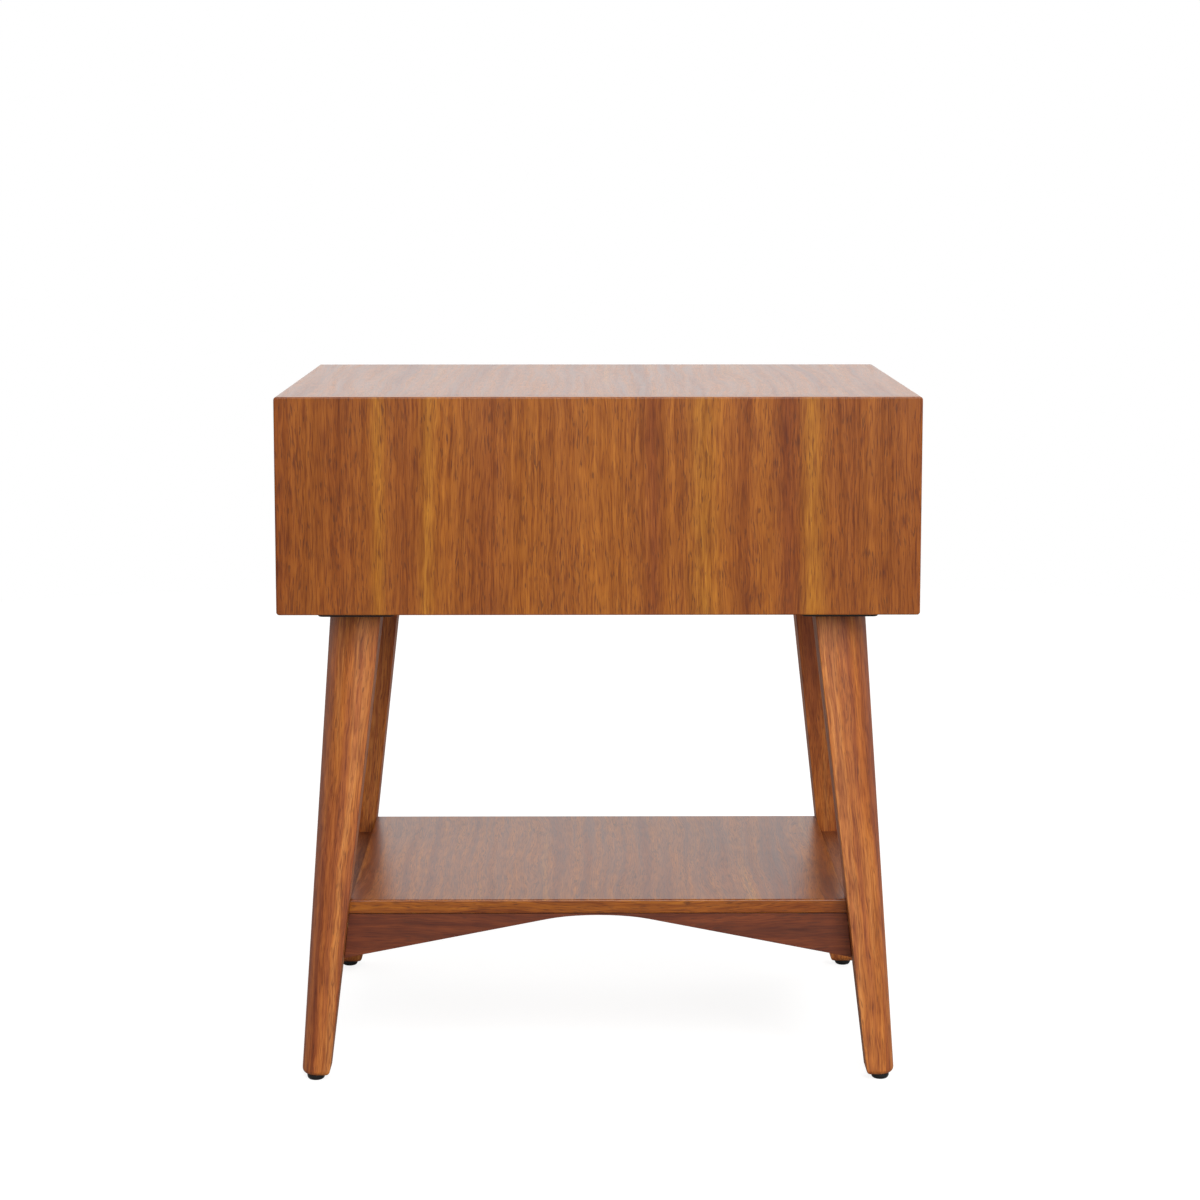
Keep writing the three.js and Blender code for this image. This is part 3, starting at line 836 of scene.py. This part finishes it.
def screw(head_radius, head_height, shank_radius, length, place, direction, pitch):
    """A pan-head screw with a cross recess: place is under its head, and it points along direction."""
    profile = [
        (0, -head_height, 0),
        (head_radius * 0.55, -head_height, 0),
        (head_radius, -head_height * 0.35, head_radius * 0.25),
        (head_radius, 0, 0.1 * MM),
        (shank_radius * 0.9, 0, 0),
        *thread(shank_radius, length * 0.15, length - shank_radius * 2, pitch),
        (0, length, 0),
    ]
    bm = turned(profile, place, direction, HIDDEN_STEPS + 12)
    recess = cross_recess(place - direction * head_height, -direction, head_radius, head_height * 0.55)
    return cut_away(bm, [recess])


def knob(side, materials):
    """A turned knob: a small foot, a waisted stem and a shallow domed face, bored for its screw."""
    node = f"{side}_knob"
    low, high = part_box(node)
    rim = (high.x - low.x) / 2
    tall = high.y - low.y
    bore = (KNOB_SCREW_SHANK + BORE_CLEARANCE) / 2
    foot = rim * 0.57
    stem = rim * 0.46
    profile = [
        (0, tall * 0.46, 0),
        (bore, tall * 0.46, 0),
        (bore, 0, 0.2 * MM),
        (foot, 0, 0.3 * MM),
        (foot, tall * 0.07, 0.8 * MM),
        (stem, tall * 0.1, 1 * MM),
        (stem * 0.96, tall * 0.42, 3.2 * MM),
        (rim * 0.9, tall * 0.64, 2.2 * MM),
        (rim, tall * 0.76, 1 * MM),
        (rim, tall * 0.87, 1.2 * MM),
        (rim * 0.8, tall * 0.965, 3 * MM),
        (rim * 0.3, tall, 2 * MM),
        (0, tall, 0),
    ]
    base = Vector(((low.x + high.x) / 2, high.y, (low.z + high.z) / 2))
    bm = turned(profile, base, FRONT, 96)
    piece(f"{node}_turned", bm, "drawer", materials, node)


def knob_screw(side, materials):
    node = f"{side}_knob_screw"
    low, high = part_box(node)
    head = (high.x - low.x) / 2
    place = Vector(((low.x + high.x) / 2, high.y - KNOB_SCREW_HEAD, (low.z + high.z) / 2))
    length = high.y - low.y - KNOB_SCREW_HEAD
    shank = KNOB_SCREW_SHANK / 2
    bm = screw(head, KNOB_SCREW_HEAD, shank, length, place, FRONT, KNOB_SCREW_PITCH)
    piece(f"{node}_steel", bm, "drawer", materials, node)


# ---- the slides ----
def channel(node, body, opens, materials, holes=()):
    """A folded steel channel along Y. opens is the sign of X that its open side faces."""
    low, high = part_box(node)
    web, tip = (low.x, high.x) if opens > 0 else (high.x, low.x)
    inside = web + opens * SHEET
    y = low.y
    bm = flat_outline(
        [
            (web, y, low.z),
            (tip, y, low.z),
            (tip, y, low.z + SHEET),
            (inside, y, low.z + SHEET),
            (inside, y, high.z - SHEET),
            (tip, y, high.z - SHEET),
            (tip, y, high.z),
            (web, y, high.z),
        ]
    )
    bends = {
        SLIDE_BEND + SHEET: [v for v in bm.verts if abs(v.co.x - web) < 0.01 * MM],
        SLIDE_BEND: [v for v in bm.verts if abs(v.co.x - inside) < 0.01 * MM],
        SHEET * 0.3: [v for v in bm.verts if abs(v.co.x - tip) < 0.01 * MM],
    }
    for reach, verts in bends.items():
        round_off(bm, verts, reach, 5)
    extruded(bm, bm.faces[:], Matrix.Translation((0, high.y - low.y, 0)))
    if holes:
        bm = cut_away(bm, holes)
    piece(f"{node}_folded", bm, body, materials, node)


def slide_screws(name, body, web_x, facing, places, z, materials):
    """Low-headed screws through a slide's web; facing is the sign of X that the heads look to."""
    heads = []
    for y in places:
        profile = [
            (0, 0, 0),
            (SLIDE_SCREW_HEAD / 2, 0, 0),
            (SLIDE_SCREW_HEAD / 2, SLIDE_SCREW_RISE * 0.4, 0.15 * MM),
            (SLIDE_SCREW_HEAD * 0.33, SLIDE_SCREW_RISE, 0.4 * MM),
            (0, SLIDE_SCREW_RISE, 0),
        ]
        place = Vector((web_x, y, z))
        direction = Vector((facing, 0, 0))
        head = turned(profile, place, direction, 32)
        recess = cross_recess(
            place + direction * SLIDE_SCREW_RISE, direction, SLIDE_SCREW_HEAD * 0.5, SLIDE_SCREW_RISE * 0.6
        )
        heads.append(cut_away(head, [recess]))
    piece(name, joined(heads), body, materials)


def ball_cage(name, body, x, z, start, end, width, strip, balls):
    """A thin steel strip with a row of balls through it, between two members of a slide."""
    low = Vector((x - width / 2, start, z - CAGE_THICKNESS / 2))
    high = Vector((x + width / 2, end, z + CAGE_THICKNESS / 2))
    parts = [block(low, high)]
    count = int((end - start - BALL_SPACING) / BALL_SPACING)
    first = (start + end - (count - 1) * BALL_SPACING) / 2
    for i in range(count):
        ball = bmesh.new()
        bmesh.ops.create_icosphere(ball, subdivisions=2, radius=BALL_DIAMETER / 2)
        bmesh.ops.translate(ball, vec=(x, first + i * BALL_SPACING, z), verts=ball.verts)
        for face in ball.faces:
            face.material_index = 1
        parts.append(ball)
    piece(name, joined(parts), body, [strip, balls])


def slides(steel, balls):
    for side, x in SIDES.items():
        middle_body = f"{side}_slide_middle"
        case_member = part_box(f"{side}_case_rail")
        middle_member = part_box(f"{side}_middle_rail")
        drawer_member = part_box(f"{side}_drawer_rail")
        front, rear = case_member[0].y, case_member[1].y
        length = rear - front
        z = (case_member[0].z + case_member[1].z) / 2
        screw_places = [front + length * share for share in SLIDE_SCREW_SHARES]
        near, far = (x * reach for reach in ACCESS_HOLE_REACH)
        width = SLIDE_SCREW_HEAD * 1.5
        holes = [rod(Vector((near, y, z)), Vector((far, y, z)), width) for y in screw_places]
        channel(f"{side}_case_rail", CASE, -x, [steel])
        channel(f"{side}_middle_rail", middle_body, -x, [steel], holes)
        channel(f"{side}_drawer_rail", "drawer", x, [steel])

        wall = 0 if x < 0 else 1  # the corner of a box that is nearer the case's side
        case_web = case_member[wall].x - x * SHEET
        drawer_web = drawer_member[1 - wall].x + x * SHEET
        slide_screws(f"{side}_case_rail_screws", CASE, case_web, -x, screw_places, z, [steel])
        slide_screws(f"{side}_drawer_rail_screws", "drawer", drawer_web, x, screw_places, z, [steel])

        outer_x = (middle_member[wall].x + case_member[1 - wall].x) / 2
        inner_x = (middle_member[1 - wall].x + drawer_member[wall].x) / 2
        for level, up in (("upper", 1), ("lower", -1)):
            face = 1 if up > 0 else 0
            outer_z = (case_member[face].z - up * SHEET + middle_member[face].z) / 2
            inner_z = (middle_member[face].z - up * SHEET + drawer_member[face].z) / 2
            cages = (
                ("outer", outer_x, outer_z, MIDDLE_TRAVEL, CAGE_MARGIN, OUTER_CAGE_WIDTH),
                ("inner", inner_x, inner_z, CAGE_MARGIN, MIDDLE_TRAVEL, INNER_CAGE_WIDTH),
            )
            for row, cage_x, cage_z, ahead, behind, width in cages:
                name = f"{side}_{level}_{row}_ball_cage"
                start, end = front + ahead, rear - behind
                ball_cage(name, middle_body, cage_x, cage_z, start, end, width, steel, balls)


# ---- legs, glides and their fasteners ----
def leg_sections(node):
    """A leg's square section at its foot's full width and at its top: (centre, width) each."""
    low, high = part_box(node)
    sections = []
    for height in (low.z + FOOT_ROUNDING, high.z):
        near, far = slice_box(node, height)
        sections.append(((near + far) / 2, far.x - near.x))
    return sections


def leg(corner, x, y, materials):
    """A square section with one large round corner, drawn up from the foot and growing as it goes."""
    node = f"{corner}_leg"
    (foot, foot_width), (top, top_width) = leg_sections(node)
    bm = flat_outline([(-0.5, -0.5, 0), (0.5, -0.5, 0), (0.5, 0.5, 0), (-0.5, 0.5, 0)])
    outer = [v for v in bm.verts if v.co.x * x > 0 and v.co.y * y > 0]
    crisp = [v for v in bm.verts if v not in outer]
    round_off(bm, outer, LEG_ROUND_SHARE, 24)
    round_off(bm, crisp, LEG_ARRIS_SHARE, 3)

    def section(height, trim):
        share = (height - foot.z) / (top.z - foot.z)
        centre = foot.lerp(top, share)
        width = foot_width + (top_width - foot_width) * share - 2 * trim
        return Matrix.Translation(centre) @ Matrix.Diagonal((width, width, 1, 1))

    rings = []
    for i in range(ROUNDING_STEPS + 1):
        angle = i / ROUNDING_STEPS * math.pi / 2
        height = foot.z - FOOT_ROUNDING * math.cos(angle)
        rings.append(section(height, FOOT_ROUNDING * (1 - math.sin(angle))))
    rings.append(section(top.z, 0))
    bmesh.ops.transform(bm, matrix=rings[0], verts=bm.verts)
    faces = bm.faces[:]
    for below, above in zip(rings, rings[1:]):
        faces = extruded(bm, faces, above @ below.inverted())
    holes = [
        bore_for(f"{corner}_hanger_bolt"),
        bore_for(f"{corner}_glide", GLIDE_NAIL),
        bore_for(f"{corner}_apron_dowel"),
        bore_for(f"{corner}_rail_dowel"),
    ]
    bm = cut_away(bm, holes)
    piece(f"{corner}_leg_shaped", bm, CASE, materials, node, smooth_below=35)


def glide(corner, plastic, steel):
    """A low moulded dome on a nail."""
    node = f"{corner}_glide"
    low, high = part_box(node)
    rim = (high.x - low.x) / 2
    leg_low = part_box(f"{corner}_leg")[0]
    top = leg_low.z - GLIDE_TO_LEG
    nail = GLIDE_NAIL / 2
    dome = [(0, 0, 0)]
    for i in range(ROUNDING_STEPS + 1):
        angle = i / ROUNDING_STEPS * math.pi / 2
        radius = rim - GLIDE_DOME * 0.75 * (1 - math.sin(angle))
        dome.append((radius, GLIDE_DOME * (1 - math.cos(angle)), 0))
    profile = dome + [(rim, top, 0.3 * MM), (nail, top, 0), (nail, high.z - 2 * nail, 0), (0, high.z, 0)]
    base = Vector(((low.x + high.x) / 2, (low.y + high.y) / 2, 0))
    bm = turned(profile, base)
    for face in bm.faces:
        if face.calc_center_median().z > top + 0.1 * MM:
            face.material_index = 1
    piece(f"{corner}_glide_moulded", bm, CASE, [plastic, steel], node)


def leg_plate(corner, materials):
    node = f"{corner}_leg_plate"
    low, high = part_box(node)
    bm = flat_outline(
        [(low.x, low.y, low.z), (high.x, low.y, low.z), (high.x, high.y, low.z), (low.x, high.y, low.z)]
    )
    round_off(bm, bm.verts[:], PLATE_CORNER, 8)
    extruded(bm, bm.faces[:], Matrix.Translation((0, 0, high.z - low.z)))
    ease(bm, edges_at(bm, z=low.z) + edges_at(bm, z=high.z), PLATE_ARRIS, 2)
    holes = [bore_for(f"{corner}_hanger_bolt")]
    holes += [bore_for(f"{corner}_plate_screw_{end}", PLATE_SCREW_SHANK) for end in "ab"]
    bm = cut_away(bm, holes)
    piece(f"{corner}_leg_plate_pressed", bm, CASE, materials, node)


def plate_screw(corner, end, materials):
    node = f"{corner}_plate_screw_{end}"
    low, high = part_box(node)
    place = Vector(((low.x + high.x) / 2, (low.y + high.y) / 2, low.z + PLATE_SCREW_HEAD))
    length = high.z - place.z
    head = (high.x - low.x) / 2
    bm = screw(head, PLATE_SCREW_HEAD, PLATE_SCREW_SHANK / 2, length, place, UP, PLATE_SCREW_PITCH)
    piece(f"{node}_black", bm, CASE, materials, node)


def hanger_bolt(corner, materials):
    """Coarse thread below, in the leg, and fine thread above, in the case."""
    node = f"{corner}_hanger_bolt"
    start, end, width = long_axis(node)
    radius = width / 2
    length = (end - start).length
    in_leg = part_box(f"{corner}_leg")[1].z - start.z
    profile = [
        (0, 0, 0),
        *thread(radius, radius, in_leg - 6 * MM, BOLT_PITCH_IN_LEG),
        (radius, in_leg - 5 * MM, 0),
        (radius, in_leg, 0),
        *thread(radius, in_leg + 1 * MM, length - 1 * MM, BOLT_PITCH_IN_CASE),
        (radius * 0.7, length, 0),
        (0, length, 0),
    ]
    bm = turned(profile, start, UP, HIDDEN_STEPS)
    piece(f"{node}_threaded", bm, CASE, materials, node)


def dowel(node, materials):
    """A fluted dowel with chamfered ends."""
    start, end, width = long_axis(node)
    bm = bmesh.new()
    bmesh.ops.create_circle(bm, cap_ends=True, segments=DOWEL_FLUTES * 4, radius=width / 2)
    for i, vert in enumerate(bm.verts):
        if i % 4 == 0:
            vert.co *= FLUTE_SHARE
    length = (end - start).length
    narrow = Matrix.Diagonal((DOWEL_TIP_SHARE, DOWEL_TIP_SHARE, 1, 1))
    chamfer = Matrix.Translation((0, 0, DOWEL_CHAMFER))
    bmesh.ops.transform(bm, matrix=narrow, verts=bm.verts)
    faces = extruded(bm, bm.faces[:], chamfer @ narrow.inverted())
    faces = extruded(bm, faces, Matrix.Translation((0, 0, length - 2 * DOWEL_CHAMFER)))
    extruded(bm, faces, chamfer @ narrow)
    point_along(bm, start, end - start)
    piece(f"{node}_fluted", bm, CASE, materials, node)


# ---- shelf frame ----
def leaning_block(node):
    """A block whose ends lean with the legs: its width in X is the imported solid's own at each height."""
    low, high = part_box(node)
    bm = block(low, high)
    centre_x = (low.x + high.x) / 2
    for height in (low.z, high.z):
        near, far = slice_box(node, height)
        for vert in bm.verts:
            if abs(vert.co.z - height) < 0.01 * MM:
                vert.co.x = near.x if vert.co.x < centre_x else far.x
    return bm


def shelf(materials):
    low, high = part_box("shelf_panel")
    bm = leaning_block("shelf_panel")
    for y in (low.y, high.y):
        for z in (low.z, high.z):
            ease(bm, edges_at(bm, y=y, z=z), SHELF_ARRIS, 4)
    mark_faces(bm, FRONT, -FRONT)
    piece("shelf_panel_veneered", bm, CASE, materials, "shelf_panel")


def side_rail(side, materials):
    node = f"{side}_side_rail"
    bm = leaning_block(node)
    ease(bm, bm.edges[:], BOARD_ARRIS)
    holes = [bore_for(f"{end}_{side}_rail_dowel") for end in ENDS]
    piece(f"{node}_planed", cut_away(bm, holes), CASE, materials, node)


def shelf_cleat(side, x, materials):
    """A strip glued inside a side rail, from apron to apron, which carries the shelf's end."""
    rail = f"{side}_side_rail"
    rail_low, rail_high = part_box(rail)
    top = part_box("shelf_panel")[0].z - GLUE_LINE
    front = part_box("front_apron")[1].y + CLEAT_END_GAP
    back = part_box("back_apron")[0].y - CLEAT_END_GAP
    inner_side = 1 if x < 0 else 0
    foot = slice_box(rail, rail_low.z)[inner_side].x
    lean = (slice_box(rail, rail_high.z)[inner_side].x - foot) / (rail_high.z - rail_low.z)
    bm = block(Vector((-CLEAT, front, top - CLEAT)), Vector((0, back, top)))
    ease(bm, edges_at(bm, x=-CLEAT), BOARD_ARRIS)
    for vert in bm.verts:
        vert.co.x = foot + lean * (vert.co.z - rail_low.z) + x * (vert.co.x - GLUE_LINE)
    piece(f"{side}_shelf_cleat_glued", bm, CASE, materials)


def apron(end, materials):
    """A rail whose underside rises to a soft peak in the middle."""
    node = f"{end}_apron"
    low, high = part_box(node)
    top = slice_box(node, high.z)[1].x
    foot = slice_box(node, low.z)[1].x
    half_reach = APRON_APEX_REACH / 2
    inner = [v.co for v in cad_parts[node].data.vertices if abs(v.co.x) < half_reach]
    underside = min(point.z for point in inner)
    slope = (underside - low.z) / (foot - half_reach)
    peak = underside + slope * half_reach
    bm = flat_outline(
        [
            (-top, low.y, high.z),
            (-foot, low.y, low.z),
            (0, low.y, peak),
            (foot, low.y, low.z),
            (top, low.y, high.z),
        ]
    )
    round_off(bm, [v for v in bm.verts if abs(v.co.x) < 1 * MM], APRON_APEX_REACH, 10)
    extruded(bm, bm.faces[:], Matrix.Translation((0, high.y - low.y, 0)))
    ease(bm, edges_at(bm, y=low.y) + edges_at(bm, y=high.y), APRON_ARRIS)
    holes = [bore_for(f"{end}_{side}_apron_dowel") for side in SIDES]
    piece(f"{node}_sawn", cut_away(bm, holes), CASE, materials, node)


# ---- the finishes, each with the way its grain runs ----
SOLID_TONES = [(0, "AC5C2A"), (0.28, "C16F2E"), (0.5, "D07E31"), (0.72, "DA8D45"), (1, "BE6C32")]
SATIN = (0.5, 0.56)  # roughness of the lacquer on solid wood, sanded less than the veneer
RAIL_TONES = [(0, "8E5026"), (0.4, "A05E2C"), (0.7, "AA6832"), (1, "96562A")]
# The aprons' tones are darker and redder than the rails'. Part of that is the wood's own tone, and part is
# painted shade of the dim space under the shelf.
APRON_TONES_WITH_PAINTED_SHADE = [(0, "6E3212"), (0.4, "7C3A15"), (0.7, "864118"), (1, "743410")]


def leg_wood(corner, x, y):
    """Solid eucalyptus, shaped and sanded under satin lacquer: fine streaks up each leg."""
    (foot, _), (top, _) = leg_sections(f"{corner}_leg")
    rise = top.z - foot.z
    lean = ((foot.x - top.x) / rise, (foot.y - top.y) / rise)
    shift = (61 * x, 143 * y, 29 * x * y)
    return lacquered_wood(
        f"eucalyptus_shaped_{corner}", "XZY", SOLID_TONES, None, lean, shift, pores=0.8, sway=2, gloss=SATIN
    )


def build():
    upright = back_veneer()
    lengthways = veneer("acacia_veneer_front_to_back", "XYZ")
    side_veneer = veneer("acacia_veneer_side", "ZYX", (0, 40, 15))
    edge_across = veneer("acacia_edge_veneer_across", "ZXY", (7, 5, 3))
    edge_upright = veneer("acacia_edge_veneer_upright", "XZY", (3, 7, 5))
    front_veneer = veneer("acacia_veneer_drawer_front", "XZY", (45, 0, 12))

    plate_holes = [bore_for(f"{corner}_hanger_bolt") for corner, _, _ in CORNERS]
    plate_holes += [
        bore_for(f"{corner}_plate_screw_{letter}", PLATE_SCREW_SHANK)
        for corner, _, _ in CORNERS
        for letter in "ab"
    ]
    sideways = Vector((1, 0, 0))
    case_board("top_panel", UP, sideways, [lengthways, edge_across])
    case_board("bottom_panel", -UP, sideways, [lengthways, edge_across], plate_holes)
    case_board("left_side_panel", -sideways, UP, [side_veneer, edge_upright])
    case_board("right_side_panel", sideways, UP, [side_veneer, edge_upright])
    back_board([upright, edge_across])

    drawer_front([front_veneer, edge_across])
    screw_holes = [bore_for(f"{side}_knob_screw", KNOB_SCREW_SHANK) for side in SIDES]
    for side, x in SIDES.items():
        low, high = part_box(f"drawer_{side}_side")
        face = low.x if x < 0 else high.x
        drawer_board(f"drawer_{side}_side", [plywood(f"birch_plywood_{side}_side", "ZYX", face)])
    inner_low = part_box("drawer_inner_front")[0]
    drawer_board(
        "drawer_inner_front", [plywood("birch_plywood_inner_front", "ZXY", inner_low.y)], screw_holes
    )
    drawer_board("drawer_back", [plywood("birch_plywood_back", "ZXY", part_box("drawer_back")[0].y)])
    drawer_bottom([plywood("birch_plywood_bottom", "YXZ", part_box("drawer_bottom")[0].z)])

    steel = zinc_steel()
    warm_metal = bronze()
    for side in SIDES:
        knob(side, [warm_metal])
        knob_screw(side, [steel])
    slides(steel, ball_steel())

    black = black_steel()
    plastic = black_plastic()
    pale_beech = beech()
    for corner, x, y in CORNERS:
        leg(corner, x, y, [leg_wood(corner, x, y)])
        glide(corner, plastic, steel)
        leg_plate(corner, [black])
        hanger_bolt(corner, [steel])
        for letter in "ab":
            plate_screw(corner, letter, [black])
        dowel(f"{corner}_apron_dowel", [pale_beech])
        dowel(f"{corner}_rail_dowel", [pale_beech])

    shelf([veneer("acacia_veneer_shelf", "XYZ", (90, 30, 0)), edge_across])
    rail_wood = lacquered_wood("eucalyptus_planed_rail", "ZYX", RAIL_TONES, None, gloss=SATIN)
    # The apron wood carries painted shade in its darker tones, on top of the wood's own darker tone.
    apron_wood_with_painted_shade = lacquered_wood("eucalyptus_sawn_apron_with_painted_shade", "ZXY", APRON_TONES_WITH_PAINTED_SHADE, None, gloss=SATIN)
    for side, x in SIDES.items():
        side_rail(side, [rail_wood])
        shelf_cleat(side, x, [rail_wood])
    for end in ENDS:
        apron(end, [apron_wood_with_painted_shade])


def add_world():
    """White all round for the eye; as light it is dim on the camera's side, overhead and below."""
    world = bpy.data.worlds.new("studio")
    world.use_nodes = True
    bpy.context.scene.world = world
    tree = world.node_tree
    tree.nodes.clear()
    direction = add(tree, "TexCoord", {}).outputs["Generated"]
    split = add(tree, "SeparateXYZ", {}, {"Vector": direction})
    gradient = add(
        tree,
        "MapRange",
        SMOOTH,
        {"Value": split.outputs["Y"], "From Min": -0.5, "From Max": 0.9, "To Min": 1.6, "To Max": 0.17},
    )
    level = add(tree, "MapRange", {}, {"Value": split.outputs["Z"], "From Min": -1, "From Max": 1})
    climb = add(
        tree,
        "ValToRGB",
        {"stops": [(0.47, GREY_12), (0.51, WHITE), (0.56, WHITE), (0.65, GREY_50)]},
        {"Fac": level.outputs["Result"]},
    )
    strength = add(
        tree, "Math", {"operation": "MULTIPLY"}, {0: gradient.outputs["Result"], 1: climb.outputs["Color"]}
    )
    seen = add(tree, "LightPath", {}).outputs["Is Camera Ray"]
    lit = add(tree, "Background", {}, {"Color": WHITE, "Strength": strength.outputs["Value"]})
    plain = add(tree, "Background", {}, {"Color": WHITE, "Strength": 1.0})
    mixed = add(
        tree, "MixShader", {}, {0: seen, 1: lit.outputs["Background"], 2: plain.outputs["Background"]}
    )
    add(tree, "OutputWorld", {}, {"Surface": mixed.outputs["Shader"]})


add_camera()
add_world()
add_floor()
add_softbox("key_above_camera", (-0.7, 2.9, 2.0), 3.0, 2.4, 124)
add_softbox("fill_other_side", (-1.6, -1.8, 2.0), 1.6, 1.4, 10)
build()
bpy.context.scene.view_settings.view_transform = "Standard"
